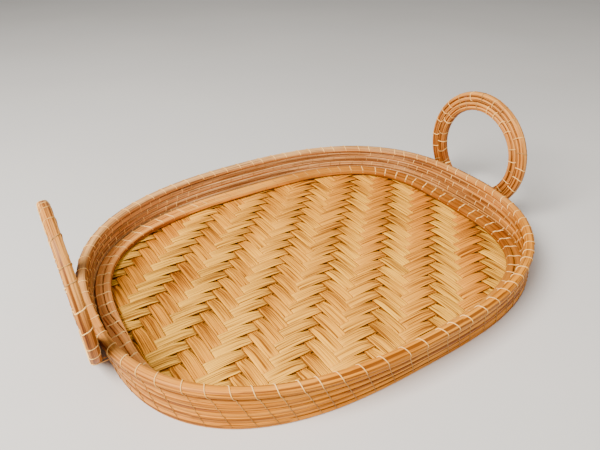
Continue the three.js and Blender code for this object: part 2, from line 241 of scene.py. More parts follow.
class TraySizes(bpy.types.PropertyGroup):
    """Plan, bundles and rings of the tray"""

    rim_half_length: metres("Rim Half Length", "Half the length along the middle of the rim", 0.198)
    rim_half_width: metres("Rim Half Width", "Half the width along the middle of the rim", 0.158)
    rim_squareness: number("Rim Squareness", "2 is a plain ellipse", 2.45)
    foot_left_inset: metres("Foot Left Inset", "How far the foot lies inside the rim, left end", 0.0045)
    foot_right_inset: metres("Foot Right Inset", "How far the foot lies inside the rim, right end", 0.0095)
    foot_side_inset: metres("Foot Side Inset", "How far the foot lies inside the rim, both sides", 0.0058)
    foot_left_squareness: number("Foot Left Squareness", "2 is a plain ellipse", 2.76)
    foot_right_squareness: number("Foot Right Squareness", "2 is a plain ellipse", 3.05)
    rim_width: metres("Rim Width", "Width of the rim bundle", 0.0084)
    rim_thickness: metres("Rim Thickness", "Height of the rim bundle", 0.0062)
    wall_thickness: metres("Wall Thickness", "Thickness of the wall bundle", 0.00545)
    wall_turns: count("Wall Turns", "Turns of the wall bundle", 5)
    border_thickness: metres("Border Thickness", "Thickness of the border bundle", 0.0062)
    border_turns: count("Border Turns", "Turns of the border bundle", 2)
    border_base: metres("Border Base", "Height of the border bundle's underside", 0.0050)
    turn_gap: metres("Turn Gap", "Gap between neighbouring turns of one bundle", 0.00055)
    seat_gap: metres("Seat Gap", "Gap between separate pieces", 0.0003)
    handle_radius: metres("Handle Radius", "Outer radius of a handle ring", 0.061)
    handle_turns: count("Handle Turns", "Turns of a handle's bundle", 4)
    handle_bundle_width: metres("Handle Bundle Width", "Width of its bundle in the ring's plane", 0.0041)
    handle_thickness: metres("Handle Thickness", "Thickness of a ring across its plane", 0.0077)
    handle_lift: metres("Handle Lift", "Height of a ring's lowest place", 0.0014)
    handle_inner_face: metres(
        "Handle Inner Face", "How far from the tray's middle a ring's inner face stands", 0.20098)
    ramp_share: factor("Ramp Share", "Share of a turn in which a bundle crosses to its next row", 0.045)


class WeaveSizes(bpy.types.PropertyGroup):
    """Strips of the floor mat"""

    pitch: metres("Strip Pitch", "Distance between neighbouring strips", 0.010676)
    gap: metres("Strip Gap", "Gap between neighbouring strips", 0.00006)
    thickness: metres("Strip Thickness", "Thickness of a strip", 0.00045)
    middle: metres("Mat Middle", "Height of the middle of the weave", 0.0031)
    level: metres("Float Level", "How far a float lies above or below the middle", 0.00075)
    crown: metres("Float Crown", "How much higher a float is near its middle", 0.00045)
    rise: metres("Rise Length", "Length in which a strip comes up at the start of a float", 0.0038)
    dive: metres("Dive Length", "Length in which a strip goes down at the end of a float", 0.0125)
    early: metres("Early Dive", "How far ahead of the crossing strip a strip is half way down", 0.0018)
    pinch: metres("Dive Pinch", "How much a float narrows on its far side where it dives", 0.0019)
    pinch_length: metres("Pinch Length", "Length in which a float's far side narrows", 0.0125)
    corner: metres("Dive Corner", "How much a float narrows on its near side where it dives", 0.0009)
    corner_length: metres("Corner Length", "Length in which a float's near side narrows", 0.0045)
    # Painted light and shade: each float is painted lighter where it rises and darker where it dives
    fade: number("Float Fade", "How much duller a float is where it dives", 0.55)
    # Painted shade: the strips are painted dark where others lie over them
    hidden_painted_shade: number("Hidden Tone", "Tone of the strips where others lie over them", -1.0)
    rib_depth: metres("Rib Depth", "Depth of the furrows between a strip's ribs", 0.00020)
    edge_drop: metres("Edge Drop", "How much lower a strip's long edges lie", 0.00010)
    ribs: count("Strip Ribs", "Ribs across one strip", 4)
    start: place("Weave Start", "Place of the weave's first crossing", (0.00824, -0.0190))
    slip: place("Weave Slip", "How far each direction leans, for each strip crossed", (-0.00043, 0.00009))
    edge_inset: metres("Mat Edge Inset", "How far the cut ends lie inside the wall's foot", 0.0033)


class StitchSizes(bpy.types.PropertyGroup):
    """Grass stitches and lashings"""

    width: metres("Stitch Width", "Width of a stitch", 0.0011)
    thickness: metres("Stitch Thickness", "Thickness of a stitch", 0.0006)
    sink: metres("Stitch Sink", "How deep a stitch dips between two rows", 0.0005)
    rim_count: count("Rim Stitches", "Stitches over the rim", 78)
    rim_advance: metres("Rim Advance", "How far a rim stitch moves on from the inside to the foot", 0.0170)
    rim_spread: factor("Rim Spread", "How much the rim's steps grow from the right end to the left", 0.15)
    wall_count: count("Wall Stitches", "Stitches in each row of the wall's inside", 88)
    wall_advance: metres("Wall Advance", "How far a wall stitch moves on across its row", 0.0010)
    border_count: count("Border Stitches", "Stitches across the border coil", 78)
    border_advance: metres("Border Advance", "How far a border stitch moves on across the coil", 0.0030)
    ring_count: count("Ring Stitches", "Stitches in each band of a handle ring", 25)
    ring_advance: metres("Ring Advance", "How far a ring stitch moves on over the ring's face", 0.0016)
    lashing_shares: FloatVectorProperty(
        name="Lashing Shares", description="Places of the lashings, as shares of the rim crossing's angle",
        default=(-1.1, -0.55, 0.0, 0.55, 1.1), size=5)


class TrayColours(bpy.types.PropertyGroup):
    """Colours of the dried grass"""

    # The strips' colours shift across the tray: painted sheen of their fibres over their own golden colour
    long_left: colour("Long Strips Left", "Lengthwise strips, left end", (1.0, 0.55, 0.06))
    long_right: colour("Long Strips Right", "Lengthwise strips, right end", (0.70, 0.22, 0.01))
    cross_back: colour("Cross Strips Back", "Crosswise strips, left of the back edge", (0.60, 0.20, 0.01))
    cross_middle: colour("Cross Strips Middle", "Crosswise strips, left of the middle", (0.95, 0.43, 0.03))
    cross_right: colour("Cross Strips Right", "Crosswise strips, right end", (0.93, 0.48, 0.04))
    coil_front: colour("Coils Front", "Wall and rim bundles, front", (0.72, 0.265, 0.01))
    coil_ends: colour("Coils Ends", "Wall and rim bundles, both ends", (0.58, 0.25, 0.06))
    coil_back: colour("Coils Back", "Wall and rim bundles, back", (0.71, 0.39, 0.15))
    rim_shade: factor("Rim Shade", "How light the rim's bundle is beside the wall's", 0.97)
    border_left: colour("Border Left", "Border bundle, left end", (0.74, 0.31, 0.08))
    border_middle: colour("Border Middle", "Border bundle, half way", (0.76, 0.33, 0.04))
    border_right: colour("Border Right", "Border bundle, right end", (0.23, 0.05, 0.001))
    handle: colour("Handles", "Bundles of the handle rings", (0.38, 0.10, 0.002))
    # Painted light: the rings are painted paler towards their tops, over their own orange-brown
    handle_lit_top: colour("Handle Tops", "Bundles of the handle rings, highest place", (0.77, 0.35, 0.08))
    stitch: colour("Stitches", "Stitches and lashings", (0.97, 0.60, 0.20))
    floor: colour("Studio Floor", "Floor under the tray", (0.66, 0.64, 0.61))


class StudioSettings(bpy.types.PropertyGroup):
    """Camera and light"""

    camera_place: place("Camera Place", "Where the camera stands", (-0.21135, -0.33394, 0.29485))
    camera_turn: radians("Camera Turn", "Turn about the upright axis", -0.5372)
    camera_tilt: radians("Camera Tilt", "How far the camera looks down", 0.5718)
    camera_roll: radians("Camera Roll", "Roll about the line of sight", -0.0185)
    lens: number("Lens", "Focal length in millimetres", 31.09)
    key_power: number("Key Power", "Power of the main light in watts", 57.0)
    fill_power: number("Fill Power", "Power of the fill light in watts", 7.0)
    sky: number("Sky Strength", "Strength of the even light all round", 0.30)


class TraySettings(bpy.types.PropertyGroup):
    """All settings of the tray"""

    sizes: PointerProperty(type=TraySizes)
    weave: PointerProperty(type=WeaveSizes)
    stitches: PointerProperty(type=StitchSizes)
    colours: PointerProperty(type=TrayColours)
    studio: PointerProperty(type=StudioSettings)


class Finish(NamedTuple):
    """How a grass looks close up: length and width of a fibre and of a stem, in metres, the weights
    of fibres, stems and the piece's tones (on the strips they also hold painted shade and painted
    light), their contrast, the roughness, the shades at which it is darkest and lightest, and the
    depth of its fibres in metres"""

    fibre: tuple
    weights: tuple
    contrast: float
    roughness: float
    reach: tuple = (0.25, 0.75)
    relief: float = 0.00035


STRIP_FIBRE = (0.030, 0.0008, 0.06, 0.0020)
STRAW_FIBRE = (0.05, 0.0006, 0.14, 0.0017)
LONG_FINISH = Finish(STRIP_FIBRE, (0.50, 0.18, 0.32), 1.15, 0.46, (0.24, 0.72))
CROSS_FINISH = Finish(STRIP_FIBRE, (0.50, 0.18, 0.32), 1.15, 0.50, (0.24, 0.72))
COIL_FINISH = Finish(STRAW_FIBRE, (0.30, 0.30, 0.40), 1.1, 0.48, (0.30, 0.70))
HANDLE_FINISH = Finish(STRAW_FIBRE, (0.35, 0.35, 0.30), 1.2, 0.45)
SEWING_FINISH = Finish((0.02, 0.0004, 0.03, 0.0009), (0.10, 0.10, 0.80), 1.0, 0.55, relief=0.0001)

# Directions in which the colours change, longer where they change in less space
# On the lengthwise strips the shift along this direction is painted sheen
ALONG = (1.0, 0.0, 0.0)
# On the crosswise strips the shift along this direction is painted sheen
ASLANT = (0.8, -0.7, 0.0)
FRONT_TO_BACK = (0.0, 1.3, 0.0)
# On the handle rings the shift along this direction is painted light from above
BOTTOM_TO_TOP = (0.0, 0.0, 1.5)

# Stains of the tray and of the floor: how many to a metre each way, and how far, in metres, those of
# the tray shift its colours
STAINS = (22, 22, 22)
FLOOR_STAINS = (3, 3, 3)
STAIN_SHIFT = 0.05

# Shades that the grass's own colour is multiplied by. The first one says how much each part of the
# colour loses for the finish's contrast.
DARK_LOSS = (1.18, 1.34, 1.45)
MIDDLE_SHADE = (0.96, 0.92, 0.84)
LIGHT_SHADE = (1.15, 1.18, 1.20)
STAIN_SHADE = (0.88, 0.82, 0.74)
WHITE = (1.0, 1.0, 1.0)

# Values between which most of a fibre's and a stem's noise lies
NOISE_SPREAD = (0.35, 0.65)


def smooth_share(share):
    kept = min(max(share, 0.0), 1.0)
    return kept * kept * (3 - 2 * kept)


def mix(first, second, share):
    return first + (second - first) * share


def parts(steps):
    """Shares from 0 to 1 in even steps"""
    return [step / steps for step in range(steps + 1)]


def squared(value, power):
    """A sine or cosine that makes a rounder or squarer section"""
    return math.copysign(abs(value) ** power, value)


def furthest(near, far, inside, halvings):
    """The last place inside, on the way from near to far"""
    if inside(far):
        return far
    for _ in range(halvings):
        tried = (near + far) / 2
        if inside(tried):
            near = tried
        else:
            far = tried
    return near


class TrayPlan:
    """Rim's plan by shares of its length, from the left end, with the foot's distance inside it."""

    def __init__(self, sizes):
        left, right, side = sizes.foot_left_inset, sizes.foot_right_inset, sizes.foot_side_inset
        self.length = sizes.rim_half_length
        self.width = sizes.rim_half_width
        self.squareness = sizes.rim_squareness
        self.foot_length = self.length - (left + right) / 2
        self.foot_middle = (left - right) / 2
        self.foot_width = self.width - side
        self.foot_squareness = (sizes.foot_left_squareness, sizes.foot_right_squareness)
        self.reach = left + right + side
        self.ramp_share = sizes.ramp_share
        angles = [math.pi * (1 + 2 * part) for part in parts(PLAN_SAMPLES * STEPS_PER_SAMPLE)]
        points = [self.rim_point(angle) for angle in angles]
        walked = [0.0]
        for here, after in zip(points, points[1:]):
            walked.append(walked[-1] + (after - here).length)
        self.perimeter = walked[-1]
        self.samples = []
        for sample in range(PLAN_SAMPLES):
            distance = self.perimeter * sample / PLAN_SAMPLES
            step = max(bisect_right(walked, distance) - 1, 0)
            share = (distance - walked[step]) / (walked[step + 1] - walked[step])
            point = self.rim_point(mix(angles[step], angles[step + 1], share))
            out = self.rim_normal(point)
            self.samples.append((point, out, self.foot_inset(point, out)))

    def rim_point(self, angle):
        power = 2 / self.squareness
        along, across = squared(math.cos(angle), power), squared(math.sin(angle), power)
        return Vector((self.length * along, self.width * across, 0))

    def rim_normal(self, point):
        power = self.squareness - 1
        along, across = squared(point.x / self.length, power), squared(point.y / self.width, power)
        return Vector((along / self.length, across / self.width, 0)).normalized()

    def in_foot(self, x, y, inset=0.0):
        power = self.foot_squareness[0 if x < self.foot_middle else 1]
        along = abs(x - self.foot_middle) / (self.foot_length - inset)
        across = abs(y) / (self.foot_width - inset)
        return along ** power + across ** power < 1

    def foot_inset(self, point, out):
        """How far inside the rim the foot lies, along the rim's normal"""
        return furthest(
            -self.reach, self.reach,
            lambda inset: not self.in_foot(point.x - inset * out.x, point.y - inset * out.y),
            FOOT_HALVINGS)

    def at(self, share):
        """Origin on the rim's middle, outward and upward directions, and the foot's inset there"""
        spot = (share - math.floor(share)) * PLAN_SAMPLES
        before = int(spot) % PLAN_SAMPLES
        part = spot - int(spot)
        origin, out, inset = self.samples[before]
        next_origin, next_out, next_inset = self.samples[(before + 1) % PLAN_SAMPLES]
        out = out.lerp(next_out, part).normalized()
        return origin.lerp(next_origin, part), out, UPRIGHT, mix(inset, next_inset, part)

    def wound(self, share):
        """The guide of the coils: the middle of their ramps lies at the left end."""
        return self.at(share + self.ramp_share / 2)


class Winding:
    """Route of one bundle. Each turn keeps to its row and crosses to the next one inside the ramp.
    A row has its place outward and upward and the share by which it leans to the foot. The rows are
    stacked outward (0) or upward (1). The edge power is for the outer half of the first turn and the
    inner half of the last one."""

    def __init__(self, guide, rows, size, stack, sizes, power, edge_power=None):
        self.guide = guide
        self.rows = rows
        self.size = size
        self.stack = stack
        self.power = power
        self.edge_power = edge_power or power
        self.gap = sizes.turn_gap
        self.ramp = sizes.ramp_share
        inward = len(rows) > 1 and rows[1][stack] < rows[0][stack]
        self.direction = -1 if inward else 1

    def section(self, turn):
        """Origin, outward and upward directions, middle and half sizes of the bundle's section"""
        last = len(self.rows) - 1
        row = min(max(math.floor(turn), 0), last)
        crossed = smooth_share((turn - row - 1) / self.ramp + 1)
        here, after = self.rows[row], self.rows[min(row + 1, last)]
        origin, out, up, inset = self.guide(turn)
        lean = mix(here[2], after[2], crossed)
        middle = [mix(here[0], after[0], crossed) - lean * inset, mix(here[1], after[1], crossed)]
        size = list(self.size)
        pitch = size[self.stack] + self.gap
        side = 0
        if turn < 0:
            size[self.stack] = smooth_share(turn / self.ramp + 1) * pitch - self.gap
            side = -self.direction
        elif row == last and crossed > 0:
            size[self.stack] = (1 - crossed) * pitch - self.gap
            side = self.direction
        size[self.stack] = max(size[self.stack], self.gap)
        middle[self.stack] += side * (self.size[self.stack] - size[self.stack]) / 2
        half = [size[0] / 2, size[1] / 2]
        half[self.stack] += self.gap / 2
        return origin, out, up, middle, half

    def surface(self, turn, angle, share=1.0, lift=0.0):
        """A point on the bundle, at an angle from its outward direction"""
        origin, out, up, middle, half = self.section(turn)
        if math.cos(angle) > 0:
            edge = 1 - smooth_share((turn - 1) / self.ramp + 1)
        else:
            edge = smooth_share((turn + 1 - len(self.rows)) / self.ramp + 1)
        power = mix(self.power, self.edge_power, edge)
        outward = middle[0] + (half[0] * share + lift) * squared(math.cos(angle), power)
        upward = middle[1] + (half[1] * share + lift) * squared(math.sin(angle), power)
        return origin + out * outward + up * upward

    def normal(self, turn, angle):
        _, out, up, _ = self.guide(turn)
        return out * math.cos(angle) + up * math.sin(angle)


def wall_rows(sizes):
    """Rows of the wall, and the height of the rim's middle"""
    pitch = sizes.wall_thickness + sizes.turn_gap
    rim_height = sizes.wall_turns * pitch - sizes.turn_gap + sizes.seat_gap + sizes.rim_thickness / 2
    foot_height = sizes.wall_thickness / 2
    heights = [foot_height + row * pitch for row in range(sizes.wall_turns)]
    return [(0.0, up, (rim_height - up) / (rim_height - foot_height)) for up in heights], rim_height


def wall_winding(sizes, plan):
    rows, _ = wall_rows(sizes)
    return Winding(plan.wound, rows, (sizes.wall_thickness, sizes.wall_thickness), 1, sizes, WALL_POWER)


def rim_winding(sizes, plan):
    _, rim_height = wall_rows(sizes)
    rows = [(0.0, rim_height, 0.0)]
    return Winding(plan.wound, rows, (sizes.rim_width, sizes.rim_thickness), 1, sizes, RIM_POWER)


def border_winding(sizes, plan):
    inset = sizes.wall_thickness / 2 + sizes.seat_gap + sizes.border_thickness / 2
    pitch = sizes.border_thickness + sizes.turn_gap
    up = sizes.border_base + sizes.border_thickness / 2
    rows = [(-inset - row * pitch, up, 1.0) for row in range(sizes.border_turns)]
    size = (sizes.border_thickness, sizes.border_thickness)
    return Winding(plan.wound, rows, size, 0, sizes, BORDER_POWER)


def ring_winding(sizes, side):
    height = sizes.handle_lift + sizes.handle_radius
    centre = Vector((side * (sizes.handle_inner_face + sizes.handle_thickness / 2), 0, height))
    upward = Vector((side, 0, 0))

    def guide(share):
        angle = 2 * math.pi * (share - sizes.ramp_share / 2) - math.pi / 2
        return centre, Vector((0, math.cos(angle), math.sin(angle))), upward, 0.0

    pitch = sizes.handle_bundle_width + sizes.turn_gap
    first = sizes.handle_radius - sizes.handle_bundle_width / 2
    rows = [(first - row * pitch, 0.0, 0.0) for row in range(sizes.handle_turns)]
    size = (sizes.handle_bundle_width, sizes.handle_thickness)
    return Winding(guide, rows, size, 0, sizes, RING_POWER, RING_EDGE_POWER)


def new_mesh():
    bm = bmesh.new()
    bm.loops.layers.uv.new(FIBRE_MAP)
    bm.verts.layers.float.new(TONE)
    return bm


def lay_grid(bm, columns, rows, surface, length, width):
    """Lays a grid on a surface, which gives a point and a tone for shares along and across."""
    fibre = bm.loops.layers.uv[FIBRE_MAP]
    tone = bm.verts.layers.float[TONE]
    start = random.Random(len(bm.verts)).uniform(0, 1)
    made = bmesh.ops.create_grid(bm, x_segments=columns, y_segments=rows, size=0.5)["verts"]
    faces = {face for vert in made for face in vert.link_faces}
    for face in faces:
        for loop in face.loops:
            corner = loop.vert.co
            loop[fibre].uv = ((corner.x + 0.5 + start) * length, (corner.y + 0.5) * width)
    for vert in made:
        vert.co, vert[tone] = surface(vert.co.x + 0.5, vert.co.y + 0.5)


def weld(bm, distance):
    bmesh.ops.remove_doubles(bm, verts=bm.verts, dist=distance)
    bmesh.ops.dissolve_degenerate(bm, edges=bm.edges, dist=distance)


def close_tubes(bm):
    """Welds the seams of rolled grids, caps their ends and turns all faces outwards."""
    weld(bm, TUBE_WELD)
    bmesh.ops.holes_fill(bm, edges=[edge for edge in bm.edges if edge.is_boundary])
    bmesh.ops.recalc_face_normals(bm, faces=bm.faces)


def add_object(bm, name, material):
    mesh = bpy.data.meshes.new(name)
    bm.to_mesh(mesh)
    bm.free()
    mesh.materials.append(material)
    made = bpy.data.objects.new(name, mesh)
    bpy.context.scene.collection.objects.link(made)
    return made


def finish_piece(bm, name, material, nodes=()):
    """Makes the piece, rides it on the tray's one body and hides the parts it replaces."""
    piece = add_object(bm, name, material)
    piece.data.shade_smooth()
    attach(piece, "root")
    if nodes:
        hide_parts(*nodes)
    return piece


def roll_bundle(name, node, straw, winding, length, stems=STEMS, step=BUNDLE_STEP):
    """Rolls a grid along a winding into one bundle with the ridges of its stems. Length is that of one
    turn. Nothing goes below the table."""
    chance = random.Random(SEEDS[name])
    waves = [(chance.uniform(5, 23), chance.uniform(0, 2 * math.pi)) for _ in range(4)]
    depths = [chance.uniform(0.5, 1.0) for _ in range(stems)]
    tones = [chance.uniform(0, 1) for _ in range(stems)]
    first, last = -winding.ramp, float(len(winding.rows))

    def surface(along, across):
        turn = mix(first, last, along)
        wander = sum(math.sin(rate * turn + phase) for rate, phase in waves) / len(waves)
        stem_place = (across * stems + wander) % stems
        stem = int(stem_place) % stems
        ridge = math.sin(math.pi * (stem_place - int(stem_place)))
        share = 1 - STEM_DEPTH * depths[stem] * (1 - ridge ** STEM_ROUNDNESS)
        point = winding.surface(turn, 2 * math.pi * across, share)
        point.z = max(point.z, 0.0)
        return point, tones[stem]

    bm = new_mesh()
    columns = round((last - first) * length / step)
    girth = math.pi * (winding.size[0] + winding.size[1]) / 2
    lay_grid(bm, columns, stems * ROWS_PER_STEM, surface, (last - first) * length, girth)
    close_tubes(bm)
    finish_piece(bm, name, straw, [node])


def lay_cord(bm, path, width, thickness, sides):
    """Lays a flat cord along a path of points, the surface's normals, shares of the width and tones."""
    points = [point for point, _, _, _ in path]
    last = len(path) - 1

    def surface(along, across):
        here = round(along * last)
        run = points[min(here + 1, last)] - points[max(here - 1, 0)]
        point, normal, breadth, tone = path[here]
        sideways = run.cross(normal).normalized()
        upwards = sideways.cross(run).normalized()
        angle = 2 * math.pi * across
        point = point + sideways * (breadth * width / 2 * math.cos(angle))
        point = point + upwards * (thickness / 2 * math.sin(angle))
        return point, tone

    length = sum((after - here).length for here, after in zip(points, points[1:]))
    lay_grid(bm, last, sides, surface, length, width + thickness)


class Shader:
    """Wires the nodes of one material. Inputs are given by name, with _ for each space."""

    def __init__(self, name):
        self.material = bpy.data.materials.new(name)
        self.material.use_nodes = True
        self.tree = self.material.node_tree
        self.surface = self.tree.nodes["Principled BSDF"]
        self.place = self.add("ShaderNodeTexCoord").outputs["Object"]

    def set(self, socket, value):
        if isinstance(value, bpy.types.NodeSocket):
            self.tree.links.new(value, socket)
        elif socket.type == "RGBA":
            socket.default_value = (*value, 1.0)
        else:
            socket.default_value = value

    def fill(self, node, **inputs):
        for name, value in inputs.items():
            self.set(node.inputs[name.replace("_", " ")], value)
        return node

    def add(self, kind, **inputs):
        return self.fill(self.tree.nodes.new(kind), **inputs)

    def noise(self, vector, scale, detail, roughness=0.5):
        mapping = self.add("ShaderNodeMapping", Vector=vector, Scale=scale)
        node = self.add(
            "ShaderNodeTexNoise", Vector=mapping.outputs["Vector"], Scale=1.0, Detail=detail,
            Roughness=roughness)
        return node.outputs["Fac"]

    def ramp(self, value, *stops):
        node = self.add("ShaderNodeValToRGB", Fac=value)
        elements = node.color_ramp.elements
        while len(elements) < len(stops):
            elements.new(0.5)
        for element, (position, shade) in zip(elements, stops):
            element.position = position
            element.color = (*shade, 1.0)
        return node.outputs["Color"]

    def range(self, value, start, end, low=0.0, high=1.0):
        node = self.add(
            "ShaderNodeMapRange", Value=value, From_Min=start, From_Max=end, To_Min=low, To_Max=high)
        return node.outputs["Result"]

    def calculate(self, operation, first, second):
        node = self.add("ShaderNodeMath")
        node.operation = operation
        self.set(node.inputs[0], first)
        self.set(node.inputs[1], second)
        return node.outputs["Value"]

    def weighted_sum(self, values, weights):
        total = None
        for value, weight in zip(values, weights):
            part = self.calculate("MULTIPLY", value, weight)
            total = self.calculate("ADD", total, part) if total else part
        return total

    def tint(self, first, second):
        """One colour times another"""
        node = self.add("ShaderNodeMix")
        node.data_type = "RGBA"
        node.blend_type = "MULTIPLY"
        sockets = {socket.identifier: socket for socket in (*node.inputs, *node.outputs)}
        self.set(sockets["Factor_Float"], 1.0)
        self.set(sockets["A_Color"], first)
        self.set(sockets["B_Color"], second)
        return sockets["Result_Color"]


def grass_material(name, tones, axis, finish):
    """Dried grass: fine fibres along the piece, stems of their own tone, and stains over the whole
    tray. Tones are the colours along an axis over the tray; on the strips they hold painted sheen,
    and on the handle rings painted light from above."""
    shader = Shader(name)
    uv = shader.add("ShaderNodeUVMap")
    uv.uv_map = FIBRE_MAP
    along = uv.outputs["UV"]
    tone = shader.add("ShaderNodeAttribute")
    tone.attribute_name = TONE
    fibre_length, fibre_width, stem_length, stem_width = finish.fibre
    fine = shader.noise(along, (1 / fibre_length, 1 / fibre_width, 1), 2.0, 0.45)
    stems = shader.noise(along, (1 / stem_length, 1 / stem_width, 1), 1.0)
    stains = shader.noise(shader.place, STAINS, 3.0)

    details = (shader.range(fine, *NOISE_SPREAD), shader.range(stems, *NOISE_SPREAD), tone.outputs["Fac"])
    shade = shader.weighted_sum(details, finish.weights)
    dark = tuple(1 - 0.50 * finish.contrast * loss for loss in DARK_LOSS)
    darkest, lightest = finish.reach
    wash = shader.ramp(shade, (darkest, dark), (0.52, MIDDLE_SHADE), (lightest, LIGHT_SHADE))

    axes = shader.add("ShaderNodeSeparateXYZ", Vector=shader.place).outputs
    shift = shader.range(stains, 0.3, 0.7, -1.0, 1.0)
    way = shader.weighted_sum((axes["X"], axes["Y"], axes["Z"], shift), (*axis, STAIN_SHIFT))
    half = CAD_BOX[1][0]
    steps = zip(parts(len(tones) - 1), tones)
    ground = shader.ramp(shader.range(way, -half, half), *steps)
    stained = shader.ramp(stains, (0.35, STAIN_SHADE), (0.60, WHITE))
    ground = shader.tint(shader.tint(ground, wash), stained)

    bump = shader.add("ShaderNodeBump", Height=fine, Strength=0.4, Distance=finish.relief)
    roughness = shader.range(fine, 0.25, 0.75, finish.roughness - 0.10, finish.roughness + 0.12)
    shader.fill(
        shader.surface, Base_Color=ground, Roughness=roughness, Normal=bump.outputs["Normal"],
        Specular_IOR_Level=0.14)
    return shader.material


class Strip:
    """One strip of the mat, which goes over three strips and under three in turn. Its places along
    and across are counted in strips."""

    def __init__(self, weave, plan, lengthwise, row, chance):
        self.weave = weave
        self.plan = plan
        self.lengthwise = lengthwise
        self.row = row
        self.first_turn = row if lengthwise else row + 0.5
        half_width = (weave.pitch - weave.gap) / 2 / weave.pitch * chance.uniform(0.97, 1.02)
        self.waver = [(chance.uniform(0.15, 0.5), chance.uniform(0, 2 * math.pi)) for _ in range(2)]
        self.rib_tones = [chance.uniform(0.3, 0.85) for _ in range(weave.ribs)]
        self.rib_depths = [chance.uniform(0.4, 1.4) * weave.rib_depth for _ in range(weave.ribs)]
        edges = (self.first_turn - half_width, self.first_turn + half_width)
        self.on_mat = self.in_foot(0.0, edges[0]) or self.in_foot(0.0, edges[1])
        if self.on_mat:
            self.trim(*edges)
            self.divide(chance)

    def spot(self, along, across):
        """Where in the tray the strip's place lies, in metres"""
        column, row = (along, across) if self.lengthwise else (across, along)
        start, slip, pitch = self.weave.start, self.weave.slip, self.weave.pitch
        return start[0] + pitch * column + slip[0] * row, start[1] + pitch * row + slip[1] * column

    def in_foot(self, along, across):
        return self.plan.in_foot(*self.spot(along, across), self.weave.edge_inset)

    def trim(self, near_edge, far_edge):
        """Cuts the strip's long edges and the ends of its lines to the outline of the mat."""

        def reached(start, end):
            return furthest(start, end, lambda across: self.in_foot(0.0, across), STRIP_HALVINGS)

        near, far = reached(far_edge, near_edge), reached(near_edge, far_edge)
        self.middle, self.half_width = (near + far) / 2, (far - near) / 2
        self.rows = self.weave.ribs * ROWS_PER_RIB
        lines = [self.middle + self.half_width * (2 * row / self.rows - 1) for row in range(self.rows + 1)]
        self.limits = [[
            furthest(0.0, PAST_THE_MAT * way, lambda along: self.in_foot(along, line), STRIP_HALVINGS)
            for way in (-1, 1)] for line in lines]
        self.first = min(limit[0] for limit in self.limits)
        self.last = max(limit[1] for limit in self.limits)

    def divide(self, chance):
        """Finds where the strip changes sides, and the grid's lines, closer where it rises or dives."""
        steps = range(
            math.floor((self.first - self.first_turn) / FLOAT_STRIPS) - 1,
            math.ceil((self.last - self.first_turn) / FLOAT_STRIPS) + 2)
        self.turns = [self.first_turn + FLOAT_STRIPS * step for step in steps]
        places = sorted(turn + step for turn in self.turns for step in FLOAT_LINES)
        kept = [spot for spot in places if self.first < spot < self.last]
        self.stations = [self.first, *kept, self.last]
        self.swells = {turn: chance.uniform(0.5, 1.3) for turn in self.turns}
        self.tilts = {turn: chance.uniform(-1, 1) for turn in self.turns}
        self.tones = {turn: chance.uniform(-0.2, 0.2) for turn in self.turns}

    def over(self, along):
        """Whether the strip lies on top there. Each rib steps on by one strip."""
        if self.lengthwise:
            return (math.floor(along) - self.row) % (2 * FLOAT_STRIPS) >= FLOAT_STRIPS
        return (self.row - math.ceil(along)) % (2 * FLOAT_STRIPS) < FLOAT_STRIPS

    def profile(self, along):
        """Last turning, share of the float passed, whether it is on top, and how far it is up"""
        weave = self.weave
        before = max((turn for turn in self.turns if turn <= along), default=self.turns[0])
        over = self.over(before + FLOAT_STRIPS / 2)
        behind, ahead = (along - before) * weave.pitch, (before + FLOAT_STRIPS - along) * weave.pitch
        if over:
            lift = min(behind / weave.rise, (ahead - weave.early) / weave.dive)
        else:
            lift = -min((behind + weave.early) / weave.dive, ahead / weave.rise)
        passed = min(max((along - before) / FLOAT_STRIPS, 0.0), 1.0)
        return before, passed, over, smooth_share(0.5 + lift)

    def pinch(self, ahead, side):
        """How far the float's edges move in where it dives, counted in strips"""
        weave = self.weave
        far = weave.pinch / weave.pitch * smooth_share(1 - ahead / weave.pinch_length)
        near = weave.corner / weave.pitch * smooth_share(1 - ahead / weave.corner_length)
        return near * (1 - side) / 2 - far * (1 + side) / 2

    def surface(self, along, across):
        """Point and tone of the strip, for shares along and across"""
        weave = self.weave
        station = self.stations[round(along * (len(self.stations) - 1))]
        limit = self.limits[round(across * self.rows)]
        side = 2 * across - 1
        before, passed, over, lift = self.profile(station)
        pinch = self.pinch((before + FLOAT_STRIPS - station) * weave.pitch, side) if over else 0.0
        sway = sum(math.sin(rate * station + phase) for rate, phase in self.waver) * SWAY
        held = min(max(station, limit[0]), limit[1])
        x, y = self.spot(held, self.middle + self.half_width * side + pinch + sway)

        arch = math.sin(math.pi * passed)
        swell = self.swells[before] * weave.crown * arch ** ARCH_POWER
        level = (2 * lift - 1) * weave.level + (swell if over else -swell)
        level += self.tilts[before] * weave.edge_drop * side * arch
        rib = min(int(across * weave.ribs), weave.ribs - 1)
        furrow = 1 - abs(math.sin(math.pi * weave.ribs * across)) ** FURROW_POWER
        furrow *= 1 - abs(side) ** FURROW_EDGE_POWER
        level -= self.rib_depths[rib] * furrow + weave.edge_drop * abs(side) ** EDGE_POWER

        # Painted shade under the crossing strips, which a float takes on as it dives
        tone = weave.hidden_painted_shade
        if over:
            shown = self.rib_tones[rib] + self.tones[before] - FURROW_TONE * furrow
            # Painted light where the float rises, and painted shade towards where it dives
            shown += weave.fade * (PAINTED_SHADE_ZERO_SHARE - passed)
            tone = mix(weave.hidden_painted_shade, shown, smooth_share(2 * lift))
        return Vector((x, y, weave.middle + level + weave.thickness / 2)), tone


